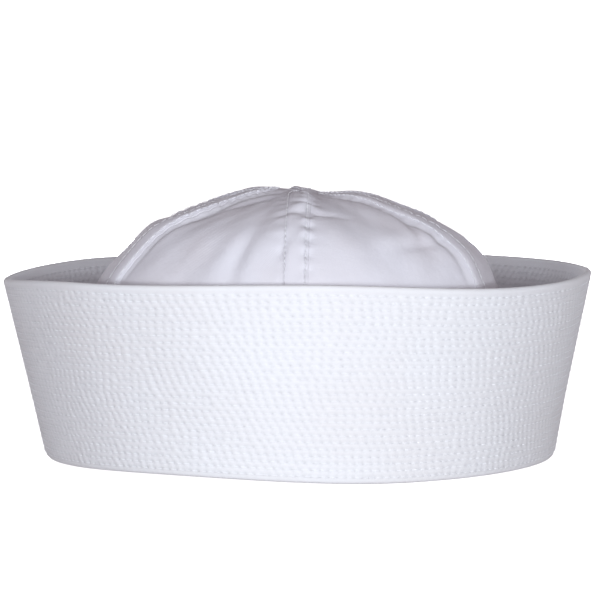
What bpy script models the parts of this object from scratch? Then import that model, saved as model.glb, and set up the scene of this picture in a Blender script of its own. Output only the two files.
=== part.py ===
"""A sailor's white cotton cap, built as it is sewn: six crown gores joined by flat-felled seams, inside a
tall quilted brim that is turned up all the way round.

Metres, +Z up. The origin is the middle of the foot, on the surface that the cap stands on. The front faces
-Y, and left is -X. An azimuth is in radians from the front, positive towards +X.
"""

import math

import bmesh
import bpy
from mathutils import Vector

# Outer size of the turned-up brim, at the foot that it stands on and at its free rim
FOOT_WIDTH = 0.1954
FOOT_DEPTH = 0.2112
RIM_WIDTH = 0.2251
RIM_DEPTH = 0.2388
BRIM_HEIGHT = 0.0698
BRIM_WALL = 0.0028
FOOT_ROUNDING = 0.0007

# Crown cloth: the height of its middle surface at the top, its wall, and the felled seams between gores
CROWN_HEIGHT = 0.1010
CROWN_WALL = 0.0012
SEAM_WIDTH = 0.0100
SEAM_STEP = 0.0022
SIDE_SEAM_AZIMUTH = math.radians(61)
SEAM_TURN = math.radians(-1.5)
PANEL_SAG = 0.0018
TIP_RADIUS = 0.0014
TAPER_START = 0.0170
TAPER_END = 0.0096
STEP_START = 0.0052
STEP_END = 0.0018
# Near the top: the least width of a column and where a seam's step ends at most, as shares of the gore's
# width, and how far a gore's tip stands back from its seam, as a share of CLEARANCE
NARROWEST = 0.06
PLAIN_LIMIT = 0.40
TIP_OPENING = 1.0

# Between pieces that are sewn together
CLEARANCE = 0.0004

# The middle of the foot lies this far towards +X of the middle of the whole cap
FOOT_SHIFT = 0.0006

# The foot is lifted off the surface by this much over a stretch left of the front
FOOT_LIFT = 0.0023
FOOT_LIFT_AZIMUTH = math.radians(-26)
FOOT_LIFT_SPAN = math.radians(52)

# Rim of the brim round the cap: azimuth in degrees, height and outward lean as shares of BRIM_HEIGHT
RIM_WAVE = (
    # azimuth, height, lean
    (-180, 0.020, 0.000),
    (-135, 0.007, 0.000),
    (-90, -0.032, 0.014),
    (-45, 0.012, 0.000),
    (0, 0.033, -0.004),
    (45, -0.011, 0.000),
    (90, 0.017, -0.017),
    (135, 0.018, 0.000),
)

# Crown profile from foot to top: height as a share of CROWN_HEIGHT, reach as a share of the crown's half size
CROWN_PROFILE = (
    # height, left reach, right reach, front and back reach
    (0.000, 1.000, 1.000, 1.000),
    (0.166, 0.981, 0.981, 0.981),
    (0.333, 0.948, 0.948, 0.951),
    (0.495, 0.899, 0.897, 0.910),
    (0.644, 0.850, 0.824, 0.858),
    (0.768, 0.745, 0.753, 0.783),
    (0.866, 0.620, 0.613, 0.688),
    (0.930, 0.446, 0.445, 0.553),
    (0.970, 0.310, 0.320, 0.395),
    (0.992, 0.207, 0.205, 0.248),
    (0.999, 0.110, 0.100, 0.122),
    (1.000, 0.000, 0.000, 0.000),
)

# Soft creases and swells of the crown: azimuth and tilt in degrees, the place along the profile from foot 0
# to top 1, and half length, half width and depth as shares of CROWN_HEIGHT. A negative depth is a swell.
CREASES = (
    # azimuth, place, tilt, length, width, depth
    (6, 0.640, 4, 0.095, 0.022, 0.016),
    (3, 0.666, 0, 0.040, 0.020, -0.010),
    (3, 0.704, 0, 0.045, 0.016, 0.008),
    (-19, 0.480, 86, 0.210, 0.034, 0.012),
    (-25, 0.470, 86, 0.220, 0.045, -0.005),
    (-5, 0.500, 68, 0.090, 0.022, 0.006),
    (-50, 0.648, 66, 0.150, 0.034, 0.012),
    (-36, 0.772, 51, 0.120, 0.034, 0.012),
    (53, 0.690, 100, 0.150, 0.026, 0.010),
    (49, 0.565, 65, 0.100, 0.028, 0.010),
    (45, 0.500, -4, 0.120, 0.024, 0.011),
    (38, 0.530, 4, 0.160, 0.050, -0.008),
    (76, 0.600, 80, 0.200, 0.040, 0.012),
    (98, 0.480, 74, 0.220, 0.060, 0.014),
    (84, 0.895, 0, 0.260, 0.120, 0.022),
    (-88, 0.560, 0, 0.200, 0.070, -0.013),
    (-110, 0.480, 80, 0.200, 0.050, 0.012),
    (148, 0.560, -30, 0.260, 0.060, 0.016),
    (-150, 0.520, 60, 0.260, 0.060, 0.016),
    (178, 0.450, 10, 0.200, 0.050, 0.012),
)

# Gores, counted from the front seam towards +X. Each lies between the seam of its own number and the next.
GORES = (
    "crown_gore_front_right",
    "crown_gore_right",
    "crown_gore_back_right",
    "crown_gore_back_left",
    "crown_gore_left",
    "crown_gore_front_left",
)

# How finely the solids are faceted
BRIM_SEGMENTS = 72
BRIM_ROWS = 5
RIM_ARC_STEPS = 4
GORE_ROWS = 19
PANEL_COLUMNS = 5
TOP_CROWDING = 1.45

COTTON_WHITE = (0.86, 0.87, 0.90, 1.0)
COTTON_ROUGHNESS = 0.9


def smooth(share):
    """Ease from 0 to 1, held at both ends."""
    share = min(1.0, max(0.0, share))
    return share * share * (3 - 2 * share)


def lerp(start, end, share):
    return start + (end - start) * share


def rim_wave(azimuth):
    """Height and lean of the rim at an azimuth, eased between the rows of RIM_WAVE."""
    degrees = (math.degrees(azimuth) + 180) % 360 - 180
    rows = RIM_WAVE + ((180,) + RIM_WAVE[0][1:],)
    for low, high in zip(rows, rows[1:]):
        if degrees <= high[0]:
            share = smooth((degrees - low[0]) / (high[0] - low[0]))
            return [lerp(a, b, share) * BRIM_HEIGHT for a, b in zip(low[1:], high[1:])]
    return [share * BRIM_HEIGHT for share in rows[-1][1:]]


def foot_lift(azimuth):
    """How far the foot of the cap is off the surface at an azimuth."""
    away = (azimuth - FOOT_LIFT_AZIMUTH + math.pi) % math.tau - math.pi
    if abs(away) >= FOOT_LIFT_SPAN:
        return 0.0
    return FOOT_LIFT * math.cos(away / FOOT_LIFT_SPAN * math.pi / 2) ** 2


def oval(azimuth, half_width, half_depth):
    """Point of an oval outline, in the plane."""
    return Vector((FOOT_SHIFT + half_width * math.sin(azimuth), -half_depth * math.cos(azimuth), 0))


def oval_normal(azimuth, half_width, half_depth):
    """Outward direction of that outline."""
    normal = Vector((half_depth * math.sin(azimuth), -half_width * math.cos(azimuth), 0))
    return normal.normalized()


def brim_face(azimuth, share):
    """Point of the brim's outer face, at a share of the way up from its foot."""
    rise, lean = rim_wave(azimuth)
    half_width = lerp(FOOT_WIDTH, RIM_WIDTH, share) / 2 + lean * share
    half_depth = lerp(FOOT_DEPTH, RIM_DEPTH, share) / 2 + lean * share
    point = oval(azimuth, half_width, half_depth)
    point.z = lerp(foot_lift(azimuth), BRIM_HEIGHT + rise - BRIM_WALL / 2, share)
    return point


def brim_section():
    """The brim's closed section as (share up the face, inward, upward): up its outer face, over the round
    rim, down its inner face and across the flat foot."""
    radius = BRIM_WALL / 2
    first = FOOT_ROUNDING / BRIM_HEIGHT
    shares = [first + (1 - first) * row / BRIM_ROWS for row in range(BRIM_ROWS + 1)]
    up = [(share, 0.0, 0.0) for share in shares]
    down = [(share, BRIM_WALL, 0.0) for share in reversed(shares)]
    over = []
    for step in range(1, RIM_ARC_STEPS):
        angle = math.pi * step / RIM_ARC_STEPS
        over.append((1.0, radius * (1 - math.cos(angle)), radius * math.sin(angle)))
    foot = [(0.0, BRIM_WALL - FOOT_ROUNDING, 0.0), (0.0, FOOT_ROUNDING, 0.0)]
    return up + over + down + foot


def brim_point(azimuth, corner):
    share, inward, upward = corner
    point = brim_face(azimuth, share)
    point -= oval_normal(azimuth, FOOT_WIDTH, FOOT_DEPTH) * inward
    point.z += upward
    return point


def crown_half_sizes():
    """Half width and half depth of the crown cloth's middle surface at its foot, inside the brim. A felled
    seam's outer ply comes nearest to the brim."""
    inset = BRIM_WALL + CLEARANCE + CROWN_WALL + CLEARANCE / 2
    return FOOT_WIDTH / 2 - inset, FOOT_DEPTH / 2 - inset


def profile_row(index):
    """A row of CROWN_PROFILE, carried on past both ends so that the curve has a direction there."""
    last = len(CROWN_PROFILE) - 1
    if index < 0:
        first, second = CROWN_PROFILE[0], CROWN_PROFILE[1]
        return [2 * a - b for a, b in zip(first, second)]
    if index > last:
        height, *reaches = CROWN_PROFILE[2 * last - index]
        return [height] + [-reach for reach in reaches]
    return list(CROWN_PROFILE[index])


def profile(place):
    """Height and the left, right, and front and back reach at a place from foot 0 to top 1, on a smooth
    curve."""
    along = place * (len(CROWN_PROFILE) - 1)
    start = min(int(along), len(CROWN_PROFILE) - 2)
    t = along - start
    before, low, high, after = (profile_row(start + k) for k in (-1, 0, 1, 2))
    return [
        b + t / 2 * (c - a + t * (2 * a - 5 * b + 4 * c - d + t * (3 * (b - c) + d - a)))
        for a, b, c, d in zip(before, low, high, after)
    ]


def dome(azimuth, place):
    """Point of the crown's middle surface before its creases."""
    height, left, right, front = profile(place)
    half_width, half_depth = crown_half_sizes()
    side = right if math.sin(azimuth) > 0 else left
    point = oval(azimuth, half_width * side, half_depth * front)
    point.z = lerp(CLEARANCE + foot_lift(azimuth) * (1 - place) ** 2, CROWN_HEIGHT, height)
    return point


def dome_directions(azimuth, place):
    """Sideways speed, and the unit directions up the profile and out of the dome."""
    turn, rise = 1e-3, 1e-3
    across = dome(azimuth + turn, place) - dome(azimuth - turn, place)
    upward = dome(azimuth, place + rise) - dome(azimuth, place - rise)
    outward = across.cross(upward).normalized()
    return across.length / (2 * turn), upward.normalized(), outward


def seam_azimuth(index):
    """Azimuth of a seam, counted from the front seam towards +X."""
    turns, seam = divmod(index, len(GORES))
    around = (
        0.0,
        SIDE_SEAM_AZIMUTH,
        math.pi - SIDE_SEAM_AZIMUTH,
        math.pi,
        math.pi + SIDE_SEAM_AZIMUTH,
        math.tau - SIDE_SEAM_AZIMUTH,
    )
    return SEAM_TURN + around[seam] + turns * math.tau


def panel_sag(azimuth, place):
    """How far the cloth between two seams falls in."""
    turned = SEAM_TURN + (azimuth - SEAM_TURN) % math.tau
    for index in range(len(GORES)):
        start, end = seam_azimuth(index), seam_azimuth(index + 1)
        if start <= turned <= end:
            across = math.sin(math.pi * (turned - start) / (end - start))
            return PANEL_SAG * across**2 * math.sin(math.pi * place)
    return 0.0


def crease_depth(azimuth, place):
    """How far all the creases together push the cloth in."""
    here = dome(azimuth, place)
    total = 0.0
    for degrees, middle, tilt, length, width, depth in CREASES:
        centre_azimuth = math.radians(degrees)
        speed, upward, outward = dome_directions(centre_azimuth, middle)
        offset = here - dome(centre_azimuth, middle)
        across = offset.dot(upward.cross(outward))
        rise = offset.dot(upward)
        angle = math.radians(tilt)
        along = (across * math.cos(angle) + rise * math.sin(angle)) / (length * CROWN_HEIGHT)
        aside = (rise * math.cos(angle) - across * math.sin(angle)) / (width * CROWN_HEIGHT)
        through = offset.dot(outward) / (length * CROWN_HEIGHT)
        total += depth * CROWN_HEIGHT * math.exp(-(along**2) - aside**2 - through**2)
    return total


def crown_point(azimuth, place, lift):
    """Point of the creased crown cloth, with lift out of its middle surface."""
    speed, upward, outward = dome_directions(azimuth, place)
    fall = panel_sag(azimuth, place) + crease_depth(azimuth, place) * smooth(place / 0.3)
    return dome(azimuth, place) + outward * (lift - fall)


def place_of_reach(reach):
    """The place on the crown's profile whose reach from the axis is this."""
    low, high = 0.0, 1.0
    half_width = crown_half_sizes()[0]
    for _ in range(40):
        middle = (low + high) / 2
        if profile(middle)[1] * half_width > reach:
            low = middle
        else:
            high = middle
    return low


def seam_columns(seam, way, place, width):
    """Columns of a gore beside one of its seams, from its edge inwards, as (azimuth, lift). Way is 1 where
    the gore starts, under its neighbour, and -1 where it ends, over the next one. Towards the top the laps
    run out first and then the steps."""
    reach = profile(place)[1] * crown_half_sizes()[0]
    speed = dome_directions(seam, place)[0]
    lap = SEAM_WIDTH / 2 * smooth((reach - TAPER_END) / (TAPER_START - TAPER_END))
    level = (CROWN_WALL + CLEARANCE) / 2 * smooth((reach - STEP_END) / (STEP_START - STEP_END))
    edge = CLEARANCE * lerp(TIP_OPENING, 0.5, smooth(reach / TAPER_END)) - lap
    shared = max(-edge, edge + NARROWEST * width)
    flat = max(lap + CLEARANCE, shared + NARROWEST * width)
    plain = min(flat + SEAM_STEP, PLAIN_LIMIT * width)
    stops = ((edge, level), ((edge + shared) / 2, level), (shared, level), (flat, level), (plain, 0.0))
    return [(seam + way * distance / speed, -way * lift) for distance, lift in stops]


def gore_columns(index, place):
    """All the columns of a gore at one height, as (azimuth, lift), from one seam to the next."""
    start, end = seam_azimuth(index), seam_azimuth(index + 1)
    width = dome_directions((start + end) / 2, place)[0] * (end - start)
    first = seam_columns(start, 1, place, width)
    last = seam_columns(end, -1, place, width)
    low, high = first[-1][0], last[-1][0]
    between = [(lerp(low, high, step / PANEL_COLUMNS), 0.0) for step in range(1, PANEL_COLUMNS)]
    return first + between + last[::-1]


def make_grid(columns, rows, point_at):
    """An open surface from a grid, each corner moved to point_at(column, row)."""
    sheet = bmesh.new()
    bmesh.ops.create_grid(sheet, x_segments=columns, y_segments=rows, size=0.5)
    for corner in sheet.verts:
        column = round((corner.co.x + 0.5) * columns)
        row = round((corner.co.y + 0.5) * rows)
        corner.co = point_at(column, row)
    return sheet


def add_object(name, sheet, material, collection):
    mesh = bpy.data.meshes.new(name)
    sheet.to_mesh(mesh)
    sheet.free()
    mesh.materials.append(material)
    mesh.shade_smooth()
    piece = bpy.data.objects.new(name, mesh)
    collection.objects.link(piece)
    return piece


def make_gore(index, material, collection):
    """One gore, from its foot to its tip near the top of the crown."""
    tip = place_of_reach(TIP_RADIUS)
    rows = [tip * (1 - (1 - row / GORE_ROWS) ** TOP_CROWDING) for row in range(GORE_ROWS + 1)]
    columns = [gore_columns(index, place) for place in rows]

    def point_at(column, row):
        azimuth, lift = columns[row][column]
        return crown_point(azimuth, rows[row], lift)

    sheet = make_grid(len(columns[0]) - 1, GORE_ROWS, point_at)
    gore = add_object(GORES[index], sheet, material, collection)
    wall = gore.modifiers.new("cloth", "SOLIDIFY")
    wall.thickness = CROWN_WALL
    wall.offset = 0.0
    wall.use_even_offset = True
    return gore


def make_brim(material, collection):
    """The turned-up brim, a closed ring of quilted cloth."""
    section = brim_section()

    def point_at(column, row):
        azimuth = math.tau * (column % BRIM_SEGMENTS) / BRIM_SEGMENTS
        return brim_point(azimuth, section[row % len(section)])

    sheet = make_grid(BRIM_SEGMENTS, len(section), point_at)
    bmesh.ops.remove_doubles(sheet, verts=sheet.verts, dist=FOOT_ROUNDING / 100)
    bmesh.ops.recalc_face_normals(sheet, faces=sheet.faces)
    return add_object("brim", sheet, material, collection)


def cotton():
    material = bpy.data.materials.new("white_cotton_twill")
    material.use_nodes = True
    surface = material.node_tree.nodes["Principled BSDF"]
    surface.inputs["Base Color"].default_value = COTTON_WHITE
    surface.inputs["Roughness"].default_value = COTTON_ROUGHNESS
    surface.inputs["Metallic"].default_value = 0.0
    material.diffuse_color = COTTON_WHITE
    return material


def main():
    for leftover in list(bpy.data.objects):
        bpy.data.objects.remove(leftover)
    collection = bpy.data.collections.new("sailor_cap")
    bpy.context.scene.collection.children.link(collection)
    material = cotton()
    make_brim(material, collection)
    for index in range(len(GORES)):
        make_gore(index, material, collection)


main()
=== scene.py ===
"""Looks of the sailor's white cotton cap: the quilted brim with its rows of stitches, the gored crown with
its felled seams, puckers and folds, white cotton cloth and thread, and a plain bright studio.

Metres, +Z up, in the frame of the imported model: the cap stands on its foot, and its front faces -Y. Azimuths
are in radians from the front, positive towards +X.
"""

import math

import bpy
import numpy as np
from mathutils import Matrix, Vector

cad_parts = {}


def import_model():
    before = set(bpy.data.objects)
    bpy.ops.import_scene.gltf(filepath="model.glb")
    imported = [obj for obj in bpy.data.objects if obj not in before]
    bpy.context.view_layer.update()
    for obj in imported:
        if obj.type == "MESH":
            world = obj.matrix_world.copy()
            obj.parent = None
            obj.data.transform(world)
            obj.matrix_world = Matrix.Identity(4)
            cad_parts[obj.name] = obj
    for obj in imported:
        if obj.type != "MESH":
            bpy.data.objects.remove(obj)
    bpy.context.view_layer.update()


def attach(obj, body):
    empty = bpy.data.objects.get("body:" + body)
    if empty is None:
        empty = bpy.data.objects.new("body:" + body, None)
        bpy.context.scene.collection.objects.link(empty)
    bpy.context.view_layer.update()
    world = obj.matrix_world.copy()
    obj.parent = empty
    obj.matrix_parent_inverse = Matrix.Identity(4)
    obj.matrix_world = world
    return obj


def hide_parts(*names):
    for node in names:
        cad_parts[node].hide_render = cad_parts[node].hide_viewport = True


# Outer size of the turned-up brim, at the foot that it stands on and at its free rim
FOOT_WIDTH = 0.1954
FOOT_DEPTH = 0.2112
RIM_WIDTH = 0.2251
RIM_DEPTH = 0.2388
BRIM_HEIGHT = 0.0698
BRIM_WALL = 0.0028

# Crown cloth: the height of its middle surface at the top, its wall, and the felled seams between gores
CROWN_HEIGHT = 0.1010
CROWN_WALL = 0.0012
SEAM_WIDTH = 0.0100
SEAM_STEP = 0.0022
SIDE_SEAM_AZIMUTH = math.radians(61)
SEAM_TURN = math.radians(-1.5)
PANEL_SAG = 0.0018
CLEARANCE = 0.0004
SEAM_LEVEL = (CROWN_WALL + CLEARANCE) / 2

# Half widths of the crown near its top: at a gore's tip, where seams narrow, and where their plies close up
TIP_RADIUS = 0.0003
TAPER_START = 0.0170
TAPER_END = 0.0060
LEVEL_START = 0.0260
LEVEL_END = 0.0040

# The middle of the foot lies this far towards +X of the middle of the whole cap
FOOT_SHIFT = 0.0006

# The foot is lifted off the surface by this much over a stretch left of the front
FOOT_LIFT = 0.0023
FOOT_LIFT_AZIMUTH = math.radians(-26)
FOOT_LIFT_SPAN = math.radians(52)

# Rim of the brim round the cap: azimuth in degrees, height and outward lean as shares of BRIM_HEIGHT
RIM_WAVE = (
    # azimuth, height, lean
    (-180, 0.020, 0.000),
    (-135, 0.007, 0.000),
    (-90, -0.032, 0.014),
    (-45, 0.012, 0.000),
    (0, 0.033, -0.004),
    (45, -0.011, 0.000),
    (90, 0.017, -0.017),
    (135, 0.018, 0.000),
)

# Slow waves of the hand-turned brim: their depth, the share of its height over which they come in, and each
# wave's part of the depth, number round the brim, phase, and turn on the way up
BRIM_DRIFT = 0.0005
BRIM_DRIFT_EASE = 0.35
BRIM_DRIFT_WAVES = (
    # part, number, phase, turn
    (0.45, 3, 0.6, 1.5),
    (0.30, 7, 2.1, -2.0),
    (0.25, 13, 4.0, 3.0),
)

# Crown profile from foot to top: height as a share of CROWN_HEIGHT, reach as a share of the crown's half size
CROWN_PROFILE = (
    # height, left reach, right reach, front and back reach
    (0.000, 1.000, 1.000, 1.000),
    (0.166, 0.981, 0.981, 0.981),
    (0.333, 0.948, 0.948, 0.951),
    (0.495, 0.899, 0.897, 0.910),
    (0.644, 0.850, 0.824, 0.858),
    (0.768, 0.745, 0.753, 0.783),
    (0.866, 0.620, 0.613, 0.688),
    (0.930, 0.446, 0.445, 0.553),
    (0.970, 0.310, 0.320, 0.395),
    (0.992, 0.207, 0.205, 0.248),
    (0.999, 0.110, 0.100, 0.122),
    (1.000, 0.000, 0.000, 0.000),
)

# Soft creases and swells of the crown: azimuth and tilt in degrees, the place along the profile from foot 0
# to top 1, and half length, half width and depth as shares of CROWN_HEIGHT. A negative depth is a swell.
CREASES = (
    # azimuth, place, tilt, length, width, depth
    (6, 0.640, 4, 0.095, 0.022, 0.016),
    (3, 0.666, 0, 0.040, 0.020, -0.010),
    (3, 0.704, 0, 0.045, 0.016, 0.008),
    (-19, 0.480, 86, 0.210, 0.034, 0.012),
    (-25, 0.470, 86, 0.220, 0.045, -0.005),
    (-5, 0.500, 68, 0.090, 0.022, 0.006),
    (-50, 0.648, 66, 0.150, 0.034, 0.012),
    (-36, 0.772, 51, 0.120, 0.034, 0.012),
    (53, 0.690, 100, 0.150, 0.026, 0.010),
    (49, 0.565, 65, 0.100, 0.028, 0.010),
    (45, 0.500, -4, 0.120, 0.024, 0.011),
    (38, 0.530, 4, 0.160, 0.050, -0.008),
    (76, 0.600, 80, 0.200, 0.040, 0.012),
    (98, 0.480, 74, 0.220, 0.060, 0.014),
    (84, 0.895, 0, 0.260, 0.120, 0.022),
    (-88, 0.560, 0, 0.200, 0.070, -0.013),
    (-110, 0.480, 80, 0.200, 0.050, 0.012),
    (148, 0.560, -30, 0.260, 0.060, 0.016),
    (-150, 0.520, 60, 0.260, 0.060, 0.016),
    (178, 0.450, 10, 0.200, 0.050, 0.012),
)

# The creases come in over this share of the profile, above the foot
CREASE_EASE = 0.3

# Slow unevenness of the crown's soft cloth: its depth, and each wave's part of the depth, number round the
# crown, turn for each CROWN_HEIGHT up the cloth, and phase
CLOTH_DRIFT = 0.00045
CLOTH_DRIFT_WAVES = (
    # part, number, turn, phase
    (0.5, 9, 6, 0.7),
    (0.4, -14, 9, 2.9),
    (0.3, 21, 15, 1.3),
    (0.2, -33, 24, 5.1),
)

# Puckers that the stitching draws along each felled seam, counted from the front seam towards +X, and which
# side of the seam has a furrow: 1 the side of larger azimuths, -1 the other one, 0 neither
SEAM_PUCKERS = (
    # period, depth at the free edge, depth at the far row, phase, side of the furrow
    (0.0078, 0.00085, 0.00020, 0.9, 0),
    (0.0056, 0.00030, 0.00024, 1.9, -1),
    (0.0052, 0.00028, 0.00020, 4.1, 1),
    (0.0054, 0.00032, 0.00020, 2.6, 0),
    (0.0050, 0.00028, 0.00022, 5.2, -1),
    (0.0057, 0.00030, 0.00026, 3.3, 1),
)

# Puckers are deepest this far inside a seam's free edge and outside its far edge, and reach this far
FREE_PUCKER_INSET = 0.0008
FREE_PUCKER_REACH = 0.0023
FAR_PUCKER_OUTSET = 0.0005
FAR_PUCKER_REACH = 0.0026

# Two slow waves shift the puckers unevenly along a seam: by how many radians, at how many radians to the
# metre, and starting at how many times the seam's phase
PUCKER_SHIFTS = (
    # shift, pace, start
    (0.9, 61, 1),
    (0.5, 143, 2),
)

# Near the foot the cloth is drawn tight, with this share of the slack that it has higher up, and the slack
# grows from this place on, over this share of the profile
FOOT_SLACK = 0.30
SLACK_START = 0.38
SLACK_SPAN = 0.22

# The line that a row of stitches presses into a seam
STITCH_LINE_DEPTH = 0.00022
STITCH_LINE_WIDTH = 0.0008

# The furrow beside a side seam: its depth, its distance from the seam's edge, and its half width
FURROW_DEPTH = 0.0011
FURROW_REACH = 0.0021
FURROW_WIDTH = 0.0018

# A seam's plies near the free edge of its lap: the folded edge is pressed down and thins over its width, and
# the ply below comes up to meet it from this far inside to this far outside
EDGE_FOLD = 0.0024
EDGE_DROP = 0.00045
EDGE_THINNING = 0.6
MEETING_INSIDE = 0.0030
MEETING_OUTSIDE = 0.0006

# Gores, counted from the front seam towards +X. Each lies between the seam of its own number and the next.
GORES = (
    "crown_gore_front_right",
    "crown_gore_right",
    "crown_gore_back_right",
    "crown_gore_back_left",
    "crown_gore_left",
    "crown_gore_front_left",
)

# Quilting of the brim: stitches round it, rows up it, mesh steps to each stitch and row, the first and last
# rows' distances from the foot and the rim, and how the cloth puffs up and is drawn in
STITCHES_ROUND = 200
STITCH_ROWS = 27
STEPS = 4
FIRST_ROW = 0.0024
LAST_ROW = 0.0022
PUFF = 0.00008
PUFF_ROUNDNESS = 0.8
PUFF_UNEVENNESS = 0.18
PUFF_SEED = 11
RIM_PUFF = 0.3
GROOVE = 0.00002
NEEDLE_HOLE = 0.00044
HOLE_REACH = 0.46
HOLE_SLANT = 0.55
HOLE_SPREAD = 0.45

# Chances for a stitch to be some mesh steps longer, and for a row to start some steps before the one below it
STITCH_CHANGES = (-1, 0, 0, 0, 0, 0, 0, 0, 0, 1)
ROW_SLIDES = (1, 1, 2)

# The two faces of the brim: name, whether it is the outer one, and the seed of its stitches
BRIM_FACES = (
    # name, outside, seed
    ("outer", True, 3),
    ("inner", False, 8),
)

# The brim's cloth runs on under the crown's edge by this much, and this far off the surface
HEM_REACH = 0.0024
FLOOR_GAP = 0.0001

# Thread: its radius and sides, its bow as a share of the radius, where along a stitch its rings are, and the
# length of the crown's stitches
THREAD_RADIUS = 0.00016
THREAD_SIDES = 4
THREAD_BOW = 0.6
STITCH_PLACES = (0.22, 0.5, 0.78)
SEAM_STITCH = 0.0026

# A seam's rows of stitches: their distance from its edges, and from its foot and its top
SEAM_ROW_INSET = 0.0013
SEAM_ROW_START = 0.004
SEAM_ROW_END = 0.006

# Heights of the rows of stitches round the inside of the crown's foot, up the cloth
HEM_ROWS = (0.0040, 0.0090)

# How deep stitches are sunk at their ends and how far they rise between them: on the brim as shares of the
# needle hole and of the thread's radius, on the crown as shares of the radius, with the lift of their ends
BRIM_SINK = 0.6
BRIM_RISE = -0.3
CROWN_SINK = 1.6
CROWN_RISE = 0.2
SEAM_THREAD_LIFT = 0.4
HEM_THREAD_LIFT = 0.3

# Meshing of the brim's turned edges and of a gore, whose columns beside a seam fill at most a share of it
FOOT_TURN_ROWS = 4
RIM_TURN_ROWS = 7
STRIP_COLUMNS = 14
STEP_COLUMNS = 5
MARGIN_COLUMNS = 6
PANEL_COLUMNS = 40
GORE_ROWS = 112
MARGIN = 0.0060
GORE_SHARE = 0.46
PLACE_SAMPLES = 2000
ARC_SAMPLES = 400

# Colours of cloth and thread
BRIM_COTTON = (0.865, 0.875, 0.905, 1.0)
BRIM_COTTON_WARM = (0.845, 0.840, 0.860, 1.0)
CROWN_COTTON = (0.838, 0.834, 0.905, 1.0)
CROWN_COTTON_WARM = (0.832, 0.806, 0.862, 1.0)
# Painted shade for the hollows of the stitching and the seams' furrows, also the random tone of yarns and
# rumples
COTTON_SHADE_AND_YARN_TONE = (0.640, 0.645, 0.680, 1.0)
THREAD = (0.885, 0.890, 0.915, 1.0)
THREAD_SHADE = (0.790, 0.795, 0.825, 1.0)

# Twill: the pitch of its ribs, how far they wander in radians, how much closer its yarns lie, and its noise
# in cells to the metre, with the detail of the small and the large kinds
TWILL_PITCH = 0.00062
RIB_WANDER = 2.0
YARN_CLOSENESS = 1.7
YARN_SCALE = 900.0
FUZZ_SCALE = 1500.0
RUMPLE_SCALE = 260.0
PATCH_SCALE = 26.0
SMALL_DETAIL = 2.0
LARGE_DETAIL = 3.0

# Twill's bump: its height, and the parts of the ribs, the yarns, their unevenness and the fuzz in it
WEAVE_HEIGHT = 0.00007
RIB_PART = 0.30
YARN_PART = 0.12
UNEVEN_PART = 0.5
FUZZ_PART = 0.4
BRIM_RUMPLING = 0.5
CROWN_RUMPLING = 2.6

# Twill's tone: the noise between which patches turn warm, and the relief, counted in needle holes, between
# which a hollow goes from no painted shade to full painted shade
PATCH_START = 0.35
PATCH_END = 0.70
HOLLOW_START = -0.15
BRIM_HOLLOW_END = -1.3
CROWN_HOLLOW_END = -4.0
# How much painted shade the hollows take, and how much the yarns and rumples vary the tone at random
HOLLOW_SHADE = 0.75
YARN_SHADE = 0.10
RUMPLE_SHADE = 0.10

# Finish of cloth and thread
COTTON_ROUGHNESS = 0.86
FUZZ_ROUGHNESS = 0.10
COTTON_SHEEN = 0.12
SHEEN_ROUGHNESS = 0.5
SPECULAR = 0.25
TWIST_SCALE = 2600.0
TWIST_DETAIL = 1.0
TWIST_HEIGHT = 0.00005
TWIST_SHADE = 0.8
THREAD_ROUGHNESS = 0.70
TWIST_ROUGHNESS = 0.12
THREAD_SHEEN = 0.10

# Floor that sweeps up into a backdrop
FLOOR_HALF = 4.0
FLOOR_DROP = 0.00005
SWEEP_RADIUS = 0.6
SWEEP_STEPS = 8
SWEEP_HEIGHT = 2.0
FLOOR_COLOUR = (0.90, 0.90, 0.91, 1.0)
FLOOR_ROUGHNESS = 0.8
FLOOR_GLOW_COLOUR = (1.0, 1.0, 1.0, 1.0)
FLOOR_GLOW = 0.90

# Lamps, all turned to one point, and the sky
LAMP_TARGET = (0.0, 0.0, 0.05)
LAMPS = (
    # name, place, width and height, watts, colour
    ("key", (0.07, -1.60, 0.165), (2.60, 0.10), 31.4, (0.905, 0.955, 1.0)),
    ("behind", (-0.10, 1.60, 0.10), (1.0, 0.16), 15.5, (0.95, 0.97, 1.0)),
)
SKY_COLOUR = (1.0, 0.88, 0.94, 1.0)
SKY_STRENGTH = 0.25

# Camera, as fitted to the photograph
CAMERA_DISTANCE = 1.22
CAMERA_SIDE = 0.0006
CAMERA_HEIGHT = 0.145
CAMERA_PITCH = math.radians(4.057)
CAMERA_LENS = 190.8
CAMERA_SENSOR = 36
CAMERA_CLIP_END = 50


def smooth(share):
    """Ease from 0 to 1, held at both ends."""
    share = np.clip(share, 0.0, 1.0)
    return share * share * (3 - 2 * share)


def bell(distance, reach):
    """1 where a distance is 0, falling off on both sides over about its reach."""
    return np.exp(-((distance / reach) ** 2))


def lerp(start, end, share):
    return start + (end - start) * share


def unit(vectors):
    return vectors / np.linalg.norm(vectors, axis=-1, keepdims=True)


def wrapped(angle):
    """An angle brought to between minus half a turn and half a turn."""
    return (angle + math.pi) % math.tau - math.pi


def distances_along(line):
    """Distance to each point of a line from its first one, along it."""
    steps = np.linalg.norm(np.diff(line, axis=0), axis=1)
    return np.concatenate([[0.0], np.cumsum(steps)])


# Brim


def rim_wave(azimuth):
    """Height and lean of the rim at each azimuth, eased between the rows of RIM_WAVE."""
    degrees = np.degrees(wrapped(azimuth))
    rows = np.array(RIM_WAVE + ((180,) + RIM_WAVE[0][1:],), dtype=float)
    index = np.clip(np.searchsorted(rows[:, 0], degrees, side="right") - 1, 0, len(rows) - 2)
    low, high = rows[index], rows[index + 1]
    share = smooth((degrees - low[..., 0]) / (high[..., 0] - low[..., 0]))
    rise = lerp(low[..., 1], high[..., 1], share) * BRIM_HEIGHT
    lean = lerp(low[..., 2], high[..., 2], share) * BRIM_HEIGHT
    return rise, lean


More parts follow.
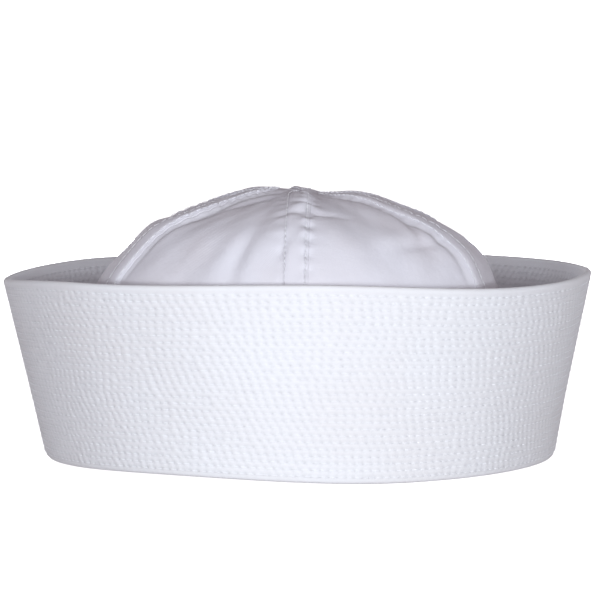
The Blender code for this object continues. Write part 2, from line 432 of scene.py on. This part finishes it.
def foot_lift(azimuth):
    """How far the foot of the cap is off the surface at an azimuth."""
    away = np.clip(wrapped(azimuth - FOOT_LIFT_AZIMUTH) / FOOT_LIFT_SPAN, -1, 1)
    return FOOT_LIFT * np.cos(away * math.pi / 2) ** 2


def oval_normal(azimuth, half_width, half_depth):
    """Outward direction of an oval outline, in the plane."""
    x = half_depth * np.sin(azimuth)
    y = -half_width * np.cos(azimuth)
    return unit(np.stack([x, y, np.zeros_like(x)], axis=-1))


def brim_drift(azimuth, share):
    """Slow waves of the hand-turned brim, none at its foot."""
    waves = 0.0
    for part, number, phase, turn in BRIM_DRIFT_WAVES:
        waves += part * np.sin(number * azimuth + phase + turn * share)
    return BRIM_DRIFT * waves * smooth(share / BRIM_DRIFT_EASE)


def brim_face(azimuth, share, inward, upward):
    """Points of the brim at a share of the way up from its foot, inward of its outer face."""
    rise, lean = rim_wave(azimuth)
    half_width = lerp(FOOT_WIDTH, RIM_WIDTH, share) / 2 + lean * share
    half_depth = lerp(FOOT_DEPTH, RIM_DEPTH, share) / 2 + lean * share
    top = BRIM_HEIGHT + rise - BRIM_WALL / 2
    x = half_width * np.sin(azimuth) + FOOT_SHIFT
    y = -half_depth * np.cos(azimuth)
    z = lerp(foot_lift(azimuth), top, share) + upward
    point = np.stack([x, y, z], axis=-1)
    normal = oval_normal(azimuth, FOOT_WIDTH, FOOT_DEPTH)
    return point - normal * (inward - brim_drift(azimuth, share))[..., None]


def row_shares():
    """Share of the way up the brim for each mesh row of its quilted face."""
    slant = math.hypot(BRIM_HEIGHT, (RIM_WIDTH - FOOT_WIDTH) / 2)
    first = FIRST_ROW / slant
    last = 1 - LAST_ROW / slant
    return np.linspace(first, last, (STITCH_ROWS - 1) * STEPS + 1)


def needle_holes(seed):
    """For each stitch row, the mesh columns that a needle hole falls on. Most stitches are as long as the
    next, and now and then one is a step shorter or longer, so that the rows drift past each other."""
    chance = np.random.default_rng(seed)
    columns = STITCHES_ROUND * STEPS
    rows = []
    start = 0
    for _ in range(STITCH_ROWS):
        lengths = STEPS + chance.choice(STITCH_CHANGES, STITCHES_ROUND)
        surplus = int(lengths.sum()) - columns
        uneven = np.flatnonzero(lengths == STEPS + int(np.sign(surplus)))[: abs(surplus)]
        lengths[uneven] = STEPS
        start -= int(chance.choice(ROW_SLIDES))
        rows.append((start + np.concatenate([[0], np.cumsum(lengths)[:-1]])) % columns)
    return rows


def quilted_height(holes):
    """How far the quilted cloth stands out at each mesh row and column: puffed between the rows of stitches,
    pressed in along them, and drawn in most where the needle went through."""
    columns = STITCHES_ROUND * STEPS
    rows = (STITCH_ROWS - 1) * STEPS + 1
    pulls = np.zeros((STITCH_ROWS, columns))
    for row, hole_columns in enumerate(holes):
        pulls[row, hole_columns] = 1.0
    near = pulls + HOLE_SPREAD * (np.roll(pulls, 1, 1) + np.roll(pulls, -1, 1))
    above = np.vstack([near[1:], near[-1:]])
    across = np.arange(rows) % STEPS / STEPS
    row_below = np.arange(rows) // STEPS
    puff = np.sin(math.pi * across)[:, None] ** PUFF_ROUNDNESS
    drawn_up = lerp(near, np.roll(near, -1, 1), HOLE_SLANT)[row_below]
    drawn_down = lerp(above, np.roll(above, 1, 1), HOLE_SLANT)[row_below]
    drawn_down[across == 0] = 0.0
    drawn = bell(across, HOLE_REACH)[:, None] * drawn_up
    drawn += bell(1 - across, HOLE_REACH)[:, None] * drawn_down
    chance = np.random.default_rng(PUFF_SEED)
    uneven = 1 + PUFF_UNEVENNESS * chance.standard_normal((rows, columns))
    return PUFF * puff * uneven - GROOVE * (1 - puff) - NEEDLE_HOLE * drawn * uneven


def outer_stations(shares):
    """Mesh rows of the brim's outer cloth, from under its foot and over its rim to the inner face's first
    groove. Each has its share of the way up, its way inward and upward, and its row of quilting or None."""
    radius = BRIM_WALL / 2
    between = lerp(shares[-1], 1.0, 0.5)
    stations = [(0.0, BRIM_WALL + HEM_REACH, FLOOR_GAP, None), (0.0, BRIM_WALL, FLOOR_GAP, None)]
    for angle in np.linspace(0.5, 0.0, FOOT_TURN_ROWS) * math.pi:
        stations.append((0.0, radius - radius * math.cos(angle), radius * (1 - math.sin(angle)), None))
    stations += [(share, 0.0, 0.0, row) for row, share in enumerate(shares)]
    stations.append((between, -RIM_PUFF * PUFF, 0.0, None))
    for angle in np.linspace(0.0, 1.0, RIM_TURN_ROWS) * math.pi:
        stations.append((1.0, radius - radius * math.cos(angle), radius * math.sin(angle), None))
    stations.append((between, BRIM_WALL + RIM_PUFF * PUFF, 0.0, None))
    stations.append((shares[-1], BRIM_WALL - GROOVE, 0.0, None))
    return stations


def inner_stations(shares):
    """Mesh rows of the brim's inner cloth, from its first groove below the rim to the foot, as outer_stations
    gives them."""
    stations = [(shares[row], BRIM_WALL, 0.0, row) for row in reversed(range(len(shares)))]
    stations.append((shares[0] / 2, BRIM_WALL, 0.0, None))
    stations.append((0.0, BRIM_WALL, FLOOR_GAP, None))
    return stations


def brim_sheet(name, outside, holes):
    """One face of the quilted brim. The outer one goes on over the rim and under the foot, and meets the
    inner one in that one's first groove."""
    columns = STITCHES_ROUND * STEPS
    azimuth = np.arange(columns) / columns * math.tau
    height = quilted_height(holes)
    stations = outer_stations(row_shares()) if outside else inner_stations(row_shares())
    outward = 1.0 if outside else -1.0
    points, reliefs = [], []
    for share, inward, upward, row in stations:
        relief = np.zeros(columns) if row is None else height[row]
        points.append(brim_face(azimuth, share, inward - outward * relief, upward))
        reliefs.append(relief)
    points = np.array(points)
    # The quilting's relief also sets the shade painted into the needle holes
    return grid_object(name, points, np.array(reliefs), distances_along(points[:, 0]), closed=True)


def brim_stitches(name, outside, holes):
    """Every stitch of the brim's quilting on one of its faces, from needle hole to needle hole."""
    columns = STITCHES_ROUND * STEPS
    inward = 0.0 if outside else BRIM_WALL
    outward = 1.0 if outside else -1.0
    starts, ends, normals = [], [], []
    for share, hole_columns in zip(row_shares()[::STEPS], holes):
        azimuth = hole_columns / columns * math.tau
        ring = brim_face(azimuth, share, inward + outward * GROOVE, 0.0)
        starts.append(ring)
        ends.append(np.roll(ring, -1, 0))
        normals.append(outward * oval_normal(azimuth, FOOT_WIDTH, FOOT_DEPTH))
    return stitches(name, starts, ends, normals, BRIM_SINK * NEEDLE_HOLE, BRIM_RISE)


# Crown


def crown_half_sizes():
    """Half width and half depth of the crown cloth's middle surface at its foot, inside the brim."""
    inset = BRIM_WALL + CLEARANCE + CROWN_WALL + CLEARANCE / 2
    return FOOT_WIDTH / 2 - inset, FOOT_DEPTH / 2 - inset


def profile(place):
    """Height and the left, right, and front and back reach at each place from foot 0 to top 1, on a smooth
    curve."""
    rows = np.array(CROWN_PROFILE)
    last = len(rows) - 1
    rows = np.vstack([2 * rows[0] - rows[1], rows, rows[-2] * (1, -1, -1, -1)])
    along = np.asarray(place, dtype=float) * last
    start = np.clip(along.astype(int), 0, last - 1)
    t = (along - start)[..., None]
    a, b, c, d = (rows[start + step] for step in range(4))
    curve = b + t / 2 * (c - a + t * (2 * a - 5 * b + 4 * c - d + t * (3 * (b - c) + d - a)))
    return np.moveaxis(curve, -1, 0)


def left_half_width(place):
    """How far the crown reaches to the left at each place."""
    return profile(place)[1] * crown_half_sizes()[0]


def dome(azimuth, place):
    """Point of the crown's middle surface before its creases."""
    height, left, right, front = profile(place)
    half_width, half_depth = crown_half_sizes()
    side = np.where(np.sin(azimuth) > 0, right, left)
    x = half_width * side * np.sin(azimuth) + FOOT_SHIFT
    y = -half_depth * front * np.cos(azimuth)
    z = lerp(CLEARANCE + foot_lift(azimuth) * (1 - place) ** 2, CROWN_HEIGHT, height)
    return np.stack([x, y, z], axis=-1)


def dome_directions(azimuth, place):
    """Sideways speed, and the unit directions up the profile and out of the dome."""
    step = 1e-3
    across = dome(azimuth + step, place) - dome(azimuth - step, place)
    upward = dome(azimuth, place + step) - dome(azimuth, place - step)
    outward = unit(np.cross(across, upward))
    return np.linalg.norm(across, axis=-1) / (2 * step), unit(upward), outward


def seam_azimuths():
    """Azimuth of each seam, counted from the front seam towards +X, and of the front seam again."""
    side = SIDE_SEAM_AZIMUTH
    return SEAM_TURN + np.array((0, side, math.pi - side, math.pi, math.pi + side, math.tau - side, math.tau))


def panel_sag(azimuth, place):
    """How far the cloth between two seams falls in."""
    seams = seam_azimuths()
    turned = SEAM_TURN + (azimuth - SEAM_TURN) % math.tau
    index = np.clip(np.searchsorted(seams, turned, side="right") - 1, 0, len(GORES) - 1)
    across = np.sin(math.pi * (turned - seams[index]) / (seams[index + 1] - seams[index]))
    return PANEL_SAG * across**2 * np.sin(math.pi * place)


def crease_depth(azimuth, place):
    """How far all the creases together push the cloth in."""
    here = dome(azimuth, place)
    total = np.zeros(here.shape[:-1])
    for degrees, middle, tilt, length, width, depth in CREASES:
        centre_azimuth, centre_place = np.array(math.radians(degrees)), np.array(middle)
        _, upward, outward = dome_directions(centre_azimuth, centre_place)
        offset = here - dome(centre_azimuth, centre_place)
        across = offset @ np.cross(upward, outward)
        rise = offset @ upward
        angle = math.radians(tilt)
        along = (across * math.cos(angle) + rise * math.sin(angle)) / (length * CROWN_HEIGHT)
        aside = (rise * math.cos(angle) - across * math.sin(angle)) / (width * CROWN_HEIGHT)
        through = (offset @ outward) / (length * CROWN_HEIGHT)
        total += depth * CROWN_HEIGHT * np.exp(-(along**2) - aside**2 - through**2)
    return total


def arc_length(place):
    """Distance up the front of the crown from its foot to each place."""
    samples = np.linspace(0, 1, ARC_SAMPLES)
    return np.interp(place, samples, distances_along(dome(np.zeros(ARC_SAMPLES), samples)))


def places_at(distance):
    """Place along the profile at each distance up the cloth from the foot."""
    places = np.linspace(0, 1, PLACE_SAMPLES)
    return np.interp(distance, arc_length(places), places)


def seam_relief(azimuth, place):
    """How far the cloth stands out at the seams: puckers beside them, the line that each of their two rows of
    stitches presses, and the furrows beside the side seams."""
    speed = dome_directions(azimuth, place)[0]
    arc = arc_length(place)
    half = SEAM_WIDTH / 2
    total = np.zeros(arc.shape)
    fade = smooth((left_half_width(place) - TAPER_END) / TAPER_START)
    slack = lerp(FOOT_SLACK, 1.0, smooth((place - SLACK_START) / SLACK_SPAN))
    for seam, (period, free_depth, far_depth, phase, side) in zip(seam_azimuths(), SEAM_PUCKERS):
        aside = wrapped(azimuth - seam) * speed
        uneven = sum(shift * np.sin(arc * pace + start * phase) for shift, pace, start in PUCKER_SHIFTS)
        wave = np.sin(math.tau * arc / period + phase + uneven)
        free = bell(aside - half + FREE_PUCKER_INSET, FREE_PUCKER_REACH)
        far = bell(aside + half + FAR_PUCKER_OUTSET, FAR_PUCKER_REACH)
        total += slack * (free_depth * wave * free + far_depth * np.roll(wave, 1, 0) * far)
        for row in (half - SEAM_ROW_INSET, SEAM_ROW_INSET - half):
            total -= STITCH_LINE_DEPTH * bell(aside - row, STITCH_LINE_WIDTH)
        furrow = bell(aside * side - half - FURROW_REACH, FURROW_WIDTH)
        total -= abs(side) * FURROW_DEPTH * slack * furrow
    return total * fade


def cloth_drift(azimuth, place):
    """Slow unevenness of soft cloth that nothing holds taut."""
    arc = arc_length(place) / CROWN_HEIGHT
    waves = 0.0
    for part, number, turn, phase in CLOTH_DRIFT_WAVES:
        waves += part * np.sin(number * azimuth + turn * arc + phase)
    return CLOTH_DRIFT * waves * np.sin(math.pi * place)


def crown_relief(azimuth, place):
    """How far the cloth stands out of the plain dome."""
    eased = smooth(place / CREASE_EASE)
    fall = panel_sag(azimuth, place) + crease_depth(azimuth, place) * eased
    return cloth_drift(azimuth, place) + seam_relief(azimuth, place) - fall


def crown_point(azimuth, place, lift):
    """Point of the crown's cloth, with lift out of its middle surface."""
    outward = dome_directions(azimuth, place)[2]
    return dome(azimuth, place) + outward * (lift + crown_relief(azimuth, place))[..., None]


def gore_places():
    """Places of a gore's mesh rows, an even distance apart up the cloth, from the foot to the tip."""
    places = np.linspace(0, 1, PLACE_SAMPLES)
    tip = np.interp(-TIP_RADIUS, -left_half_width(places), places)
    return places_at(np.linspace(0, arc_length(tip), GORE_ROWS + 1))


def lap_and_level(place):
    """Half width of a seam's lap, and how far its plies stand from the middle surface, near the top less."""
    reach = left_half_width(place)
    lap = SEAM_WIDTH / 2 * smooth((reach - TAPER_END) / (TAPER_START - TAPER_END))
    level = SEAM_LEVEL * smooth((reach - LEVEL_END) / (LEVEL_START - LEVEL_END))
    return lap, level


def seam_columns(seam, way, place, width):
    """Azimuths, lifts and wall shares of a gore's mesh columns beside one of its seams, from its edge
    inwards. Way is 1 where the gore starts, under its neighbour, and -1 where it ends, over the next."""
    speed = dome_directions(np.full(len(place), seam), place)[0]
    lap, level = lap_and_level(place)
    share = np.linspace(0, 1, STRIP_COLUMNS + 1)
    ease = np.linspace(0, 1, STEP_COLUMNS + 1)[1:]
    margin = np.linspace(0, 1, MARGIN_COLUMNS + 1)[1:]
    strip = -lap[:, None] * (1 - 2 * share)
    step = lap[:, None] + SEAM_STEP * ease
    beside = lap[:, None] + SEAM_STEP + MARGIN * margin
    distance = np.hstack([strip, step, beside])
    count = distance.shape[1]
    limit = -lap[:, None] + (GORE_SHARE * width + lap)[:, None] * np.arange(count) / (count - 1)
    distance = np.minimum(distance, limit)
    meeting = smooth((distance - lap[:, None] + MEETING_INSIDE) / (MEETING_INSIDE + MEETING_OUTSIDE))
    fold = smooth(1 - (distance + lap[:, None]) / EDGE_FOLD)
    lift = (SEAM_LEVEL * (1 - meeting) - EDGE_DROP * fold) * (level / SEAM_LEVEL)[:, None]
    return seam + way * distance / speed[:, None], -way * lift, 1 - EDGE_THINNING * fold


def make_gore(index):
    """One gore of the crown, from its foot to its tip."""
    place = gore_places()
    start, end = seam_azimuths()[index : index + 2]
    middle = np.full(len(place), (start + end) / 2)
    width = dome_directions(middle, place)[0] * (end - start)
    first, first_lift, first_wall = seam_columns(start, 1, place, width)
    last, last_lift, last_wall = seam_columns(end, -1, place, width)
    share = np.linspace(0, 1, PANEL_COLUMNS + 1)[1:-1]
    between = lerp(first[:, -1:], last[:, -1:], share)
    azimuth = np.hstack([first, between, last[:, ::-1]])
    lift = np.hstack([first_lift, np.zeros(between.shape), last_lift[:, ::-1]])
    wall_shares = np.hstack([first_wall, np.ones(between.shape), last_wall[:, ::-1]]).ravel().round(2)
    rows = np.repeat(place[:, None], azimuth.shape[1], axis=1)
    points = crown_point(azimuth, rows, lift)
    # The seams' relief also sets the shade painted into their furrows and stitch lines
    relief = seam_relief(azimuth, rows)
    gore = grid_object(GORES[index] + "_cloth", points, relief, arc_length(place), closed=False)
    wall_group = gore.vertex_groups.new(name="wall")
    for wall_share in np.unique(wall_shares):
        wall_group.add(np.flatnonzero(wall_shares == wall_share).tolist(), float(wall_share), "REPLACE")
    wall = gore.modifiers.new("cloth", "SOLIDIFY")
    wall.vertex_group = wall_group.name
    wall.thickness = CROWN_WALL
    wall.offset = 0.0
    wall.use_even_offset = True
    return gore


def seam_stitches(name, inside):
    """Both rows of stitches of all six felled seams, on one side of the cloth."""
    starts, ends, normals = [], [], []
    top = arc_length(gore_places()[-1])
    place = places_at(np.arange(SEAM_ROW_START, top - SEAM_ROW_END, SEAM_STITCH))
    lap, level = lap_and_level(place)
    inset = np.minimum(SEAM_ROW_INSET, lap / 2)
    keep = lap[:-1] > SEAM_ROW_INSET
    side = -1.0 if inside else 1.0
    lift = side * (level + CROWN_WALL / 2 + SEAM_THREAD_LIFT * THREAD_RADIUS)
    for seam in seam_azimuths()[:-1]:
        speed, _, outward = dome_directions(np.full(len(place), seam), place)
        for way in (-1, 1):
            line = crown_point(seam + way * (lap - inset) / speed, place, lift)
            starts.append(line[:-1][keep])
            ends.append(line[1:][keep])
            normals.append(side * outward[:-1][keep])
    return stitches(name, starts, ends, normals, CROWN_SINK * THREAD_RADIUS, CROWN_RISE)


def hem_stitches(name):
    """Rows of stitches round the inside of the crown, just above its foot."""
    starts, ends, normals = [], [], []
    count = round(math.pi * (FOOT_WIDTH + FOOT_DEPTH) / 2 / SEAM_STITCH)
    azimuth = np.arange(count) / count * math.tau
    nearest = np.min(np.abs(wrapped(azimuth[:, None] - seam_azimuths())), axis=1) * FOOT_WIDTH / 2
    on_lap = smooth((SEAM_WIDTH / 2 + SEAM_STEP - nearest) / SEAM_STEP)
    lift = -CROWN_WALL / 2 - HEM_THREAD_LIFT * THREAD_RADIUS - SEAM_LEVEL * on_lap
    for height in HEM_ROWS:
        place = np.full(count, places_at(height))
        line = crown_point(azimuth, place, lift)
        starts.append(line)
        ends.append(np.roll(line, -1, 0))
        normals.append(-dome_directions(azimuth, place)[2])
    return stitches(name, starts, ends, normals, CROWN_SINK * THREAD_RADIUS, CROWN_RISE)


# Meshes


def add_object(name, vertices, faces):
    mesh = bpy.data.meshes.new(name)
    mesh.from_pydata(vertices.tolist(), [], faces)
    mesh.update()
    mesh.shade_smooth()
    piece = bpy.data.objects.new(name, mesh)
    bpy.context.collection.objects.link(piece)
    return piece


def grid_object(name, points, relief, along, closed):
    """A sheet of cloth from rows of points, with its relief, by which its material paints shade into hollows,
    and a map in metres of cloth.
    """
    rows, columns = points.shape[:2]
    spans = columns if closed else columns - 1
    row, column = np.divmod(np.arange((rows - 1) * spans), spans)
    following = (column + 1) % columns
    below, above = row * columns, (row + 1) * columns
    faces = np.stack([below + column, below + following, above + following, above + column], axis=1)
    piece = add_object(name, points.reshape(-1, 3), faces.tolist())
    gaps = np.linalg.norm(np.diff(points, axis=1, append=points[:, :1]), axis=2)
    if closed:
        gaps = np.broadcast_to(gaps.mean(axis=0), gaps.shape)
    across = np.hstack([np.zeros((rows, 1)), np.cumsum(gaps, axis=1)])
    across -= across[:, columns // 2, None]
    cloth_map = piece.data.uv_layers.new(name="cloth")
    loops = ((row, column), (row, column + 1), (row + 1, column + 1), (row + 1, column))
    u = np.stack([across[loop] for loop in loops], axis=1)
    v = np.stack([along[loop[0]] for loop in loops], axis=1)
    cloth_map.data.foreach_set("uv", np.stack([u, v], axis=2).ravel())
    # The relief, by which the material paints shade into hollows
    painted_hollow_shade = piece.data.attributes.new("relief", "FLOAT", "POINT")
    painted_hollow_shade.data.foreach_set("value", (relief.ravel() / NEEDLE_HOLE).astype(np.float32))
    return piece


def stitches(name, starts, ends, normals, sink, rise):
    """Short bowed threads, each from a needle hole to the next, with both ends sunk into the cloth. Starts,
    ends and normals are lists of rows of stitches. Rise is how far a thread lies out of the cloth near its
    ends, as a share of its radius."""
    starts, ends, normals = np.vstack(starts), np.vstack(ends), np.vstack(normals)
    aside = unit(np.cross(unit(ends - starts), normals))
    rings = [starts - normals * sink]
    for share in STITCH_PLACES:
        bow = rise + THREAD_BOW * math.sin(math.pi * share)
        centre = lerp(starts, ends, share) + normals * THREAD_RADIUS * bow
        for side in range(THREAD_SIDES):
            angle = math.tau * (side + 0.5) / THREAD_SIDES
            rings.append(centre + THREAD_RADIUS * (aside * math.cos(angle) + normals * math.sin(angle)))
    rings.append(ends - normals * sink)
    vertices = np.stack(rings, axis=1).reshape(-1, 3)
    each = len(rings)
    final = each - 1 - THREAD_SIDES
    template = []
    for side in range(THREAD_SIDES):
        following = (side + 1) % THREAD_SIDES
        template.append((0, 1 + following, 1 + side))
        for low in range(1, final, THREAD_SIDES):
            high = low + THREAD_SIDES
            template.append((low + side, low + following, high + following, high + side))
        template.append((final + side, final + following, each - 1))
    first_corners = range(0, len(vertices), each)
    faces = [[first + corner for corner in face] for first in first_corners for face in template]
    return add_object(name, vertices, faces)


# Materials


class Value:
    """A number in a material, so that shader maths reads as Python."""

    def __init__(self, shader, socket):
        self.shader = shader
        self.socket = socket

    def __add__(self, other):
        return self.shader.math("ADD", self, other)

    def __sub__(self, other):
        return self.shader.math("SUBTRACT", self, other)

    def __rsub__(self, other):
        return self.shader.math("SUBTRACT", other, self)

    def __mul__(self, other):
        return self.shader.math("MULTIPLY", self, other)

    __radd__ = __add__
    __rmul__ = __mul__


class Shader:
    """A new material and the nodes that are added to it."""

    def __init__(self, name):
        self.material = bpy.data.materials.new(name)
        self.material.use_nodes = True
        self.tree = self.material.node_tree
        self.surface = self.tree.nodes["Principled BSDF"]

    def node(self, kind, settings=None, inputs=None):
        """A node of a kind, with its settings, and with values or links for its sockets."""
        made = self.tree.nodes.new(kind)
        for key, value in (settings or {}).items():
            setattr(made, key, value)
        for key, value in (inputs or {}).items():
            self.feed(made.inputs[key], value)
        return made

    def feed(self, socket, value):
        source = value.socket if isinstance(value, Value) else value
        if isinstance(source, bpy.types.NodeSocket):
            self.tree.links.new(source, socket)
        else:
            socket.default_value = source

    def math(self, operation, *values):
        made = self.node("ShaderNodeMath", {"operation": operation}, dict(enumerate(values)))
        return Value(self, made.outputs[0])

    def sine(self, value):
        return self.math("SINE", value)

    def between(self, value, low, high):
        """0 where a value is at low and 1 where it is at high, held past both."""
        made = self.node(
            "ShaderNodeMapRange", {"clamp": True}, {"Value": value, "From Min": low, "From Max": high}
        )
        return Value(self, made.outputs[0])

    def noise(self, vector, scale, detail):
        made = self.node("ShaderNodeTexNoise", None, {"Vector": vector, "Scale": scale, "Detail": detail})
        return Value(self, made.outputs["Fac"])

    def mix(self, factor, low, high):
        """Colour between two colours."""
        made = self.node("ShaderNodeMix", {"data_type": "RGBA"}, {0: factor, 6: low, 7: high})
        return made.outputs[2]

    def place(self):
        """Where a point of the surface is, in metres."""
        return self.node("ShaderNodeTexCoord").outputs["Object"]

    def bump(self, height, distance):
        made = self.node("ShaderNodeBump", None, {"Height": height, "Distance": distance})
        self.feed(self.surface.inputs["Normal"], made.outputs[0])

    def finish(self, colour, roughness, sheen):
        self.feed(self.surface.inputs["Base Color"], colour)
        self.feed(self.surface.inputs["Roughness"], roughness)
        self.surface.inputs["Specular IOR Level"].default_value = SPECULAR
        self.surface.inputs["Sheen Weight"].default_value = sheen
        self.surface.inputs["Sheen Roughness"].default_value = SHEEN_ROUGHNESS
        return self.material


def cotton_twill(name, plain, warm, hollow_end, rumpling):
    """White cotton twill: fine diagonal ribs, thicker and thinner yarns, a slow change of tone, and shade
    painted into the colour of the hollows that the stitching draws and of the seams' furrows."""
    shader = Shader(name)
    cloth = shader.node("ShaderNodeUVMap", {"uv_map": "cloth"}).outputs[0]
    parts = shader.node("ShaderNodeSeparateXYZ", None, {0: cloth})
    across, up = Value(shader, parts.outputs[0]), Value(shader, parts.outputs[1])
    place = shader.place()
    uneven = shader.noise(cloth, YARN_SCALE, SMALL_DETAIL)
    patch = shader.noise(place, PATCH_SCALE, LARGE_DETAIL)
    fuzz = shader.noise(place, FUZZ_SCALE, SMALL_DETAIL)
    rumple = shader.noise(place, RUMPLE_SCALE, LARGE_DETAIL)
    ribs = shader.sine((across + up) * (math.tau / TWILL_PITCH) + uneven * RIB_WANDER)
    yarns = shader.sine((across - up) * (math.tau / TWILL_PITCH * YARN_CLOSENESS))
    threads = ribs * RIB_PART + yarns * YARN_PART + uneven * UNEVEN_PART
    weave = threads + fuzz * FUZZ_PART + rumple * rumpling
    relief = Value(shader, shader.node("ShaderNodeAttribute", {"attribute_name": "relief"}).outputs["Fac"])
    # Painted shade: the colour darkens the deeper the cloth's relief lies in a hollow or furrow
    painted_hollow_shade = shader.between(relief, HOLLOW_START, hollow_end)
    tone = shader.mix(shader.between(patch, PATCH_START, PATCH_END), plain, warm)
    # Painted shade of the hollows, together with the random tone of yarns and rumples
    painted_shade_and_tone = painted_hollow_shade * HOLLOW_SHADE + uneven * YARN_SHADE + rumple * RUMPLE_SHADE
    shader.bump(weave, WEAVE_HEIGHT)
    roughness = COTTON_ROUGHNESS + fuzz * FUZZ_ROUGHNESS
    return shader.finish(shader.mix(painted_shade_and_tone, tone, COTTON_SHADE_AND_YARN_TONE), roughness, COTTON_SHEEN)


def cotton_thread():
    """White sewing thread, with its twist as a fine unevenness."""
    shader = Shader("white_sewing_thread")
    twist = shader.noise(shader.place(), TWIST_SCALE, TWIST_DETAIL)
    shader.bump(twist, TWIST_HEIGHT)
    roughness = THREAD_ROUGHNESS + twist * TWIST_ROUGHNESS
    return shader.finish(shader.mix(twist * TWIST_SHADE, THREAD, THREAD_SHADE), roughness, THREAD_SHEEN)


def floor_finish():
    shader = Shader("pale_floor")
    shader.surface.inputs["Base Color"].default_value = FLOOR_COLOUR
    shader.surface.inputs["Roughness"].default_value = FLOOR_ROUGHNESS
    shader.surface.inputs["Emission Color"].default_value = FLOOR_GLOW_COLOUR
    shader.surface.inputs["Emission Strength"].default_value = FLOOR_GLOW
    return shader.material


# Studio


def make_floor():
    """A floor that sweeps up into a backdrop behind the cap."""
    bend = FLOOR_HALF - SWEEP_RADIUS
    outline = [(-FLOOR_HALF, 0.0), (bend, 0.0)]
    for step in range(1, SWEEP_STEPS + 1):
        angle = math.pi / 2 * step / SWEEP_STEPS
        outline.append((bend + SWEEP_RADIUS * math.sin(angle), SWEEP_RADIUS * (1 - math.cos(angle))))
    outline.append((FLOOR_HALF, SWEEP_HEIGHT))
    vertices = np.array([(x, y, z - FLOOR_DROP) for y, z in outline for x in (-FLOOR_HALF, FLOOR_HALF)])
    faces = [(2 * k, 2 * k + 1, 2 * k + 3, 2 * k + 2) for k in range(len(outline) - 1)]
    floor = add_object("floor", vertices, faces)
    floor.data.materials.append(floor_finish())
    floor.visible_diffuse = False


def add_area_light(name, place, size, power, colour):
    light = bpy.data.lights.new(name, "AREA")
    light.shape = "RECTANGLE"
    light.size, light.size_y = size
    light.energy = power
    light.color = colour
    lamp = bpy.data.objects.new(name, light)
    lamp.location = place
    lamp.rotation_mode = "QUATERNION"
    lamp.rotation_quaternion = (Vector(LAMP_TARGET) - Vector(place)).to_track_quat("-Z", "Y")
    bpy.context.collection.objects.link(lamp)


def make_lights():
    for lamp in LAMPS:
        add_area_light(*lamp)
    world = bpy.data.worlds.new("studio")
    world.use_nodes = True
    sky = world.node_tree.nodes["Background"]
    sky.inputs["Color"].default_value = SKY_COLOUR
    sky.inputs["Strength"].default_value = SKY_STRENGTH
    bpy.context.scene.world = world
    bpy.context.scene.view_settings.view_transform = "Standard"


def make_camera():
    camera = bpy.data.objects.new("camera", bpy.data.cameras.new("camera"))
    camera.data.lens = CAMERA_LENS
    camera.data.sensor_width = CAMERA_SENSOR
    camera.data.clip_end = CAMERA_CLIP_END
    camera.location = (CAMERA_SIDE, -CAMERA_DISTANCE, CAMERA_HEIGHT)
    camera.rotation_euler = (math.pi / 2 - CAMERA_PITCH, 0.0, 0.0)
    bpy.context.collection.objects.link(camera)
    bpy.context.scene.camera = camera


def dress(piece, material, slot, *nodes):
    """Give a piece its material, its body and the solids that it stands for."""
    piece.data.materials.append(material)
    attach(piece, "root")
    if nodes:
        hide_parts(*nodes)


def main():
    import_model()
    brim_cloth = cotton_twill(
        "quilted_cotton_twill", BRIM_COTTON, BRIM_COTTON_WARM, BRIM_HOLLOW_END, BRIM_RUMPLING
    )
    crown_cloth = cotton_twill(
        "crown_cotton_twill", CROWN_COTTON, CROWN_COTTON_WARM, CROWN_HOLLOW_END, CROWN_RUMPLING
    )
    thread = cotton_thread()
    for side, outside, seed in BRIM_FACES:
        holes = needle_holes(seed)
        dress(brim_sheet(f"brim_{side}_cloth", outside, holes), brim_cloth, "brim_cotton", "brim")
        dress(brim_stitches(f"brim_{side}_stitches", outside, holes), thread, "brim_cotton")
    for index, name in enumerate(GORES):
        dress(make_gore(index), crown_cloth, "crown_cotton", name)
    dress(seam_stitches("seam_outer_stitches", False), thread, "crown_cotton")
    dress(seam_stitches("seam_inner_stitches", True), thread, "crown_cotton")
    dress(hem_stitches("hem_stitches"), thread, "crown_cotton")
    make_floor()
    make_lights()
    make_camera()


main()
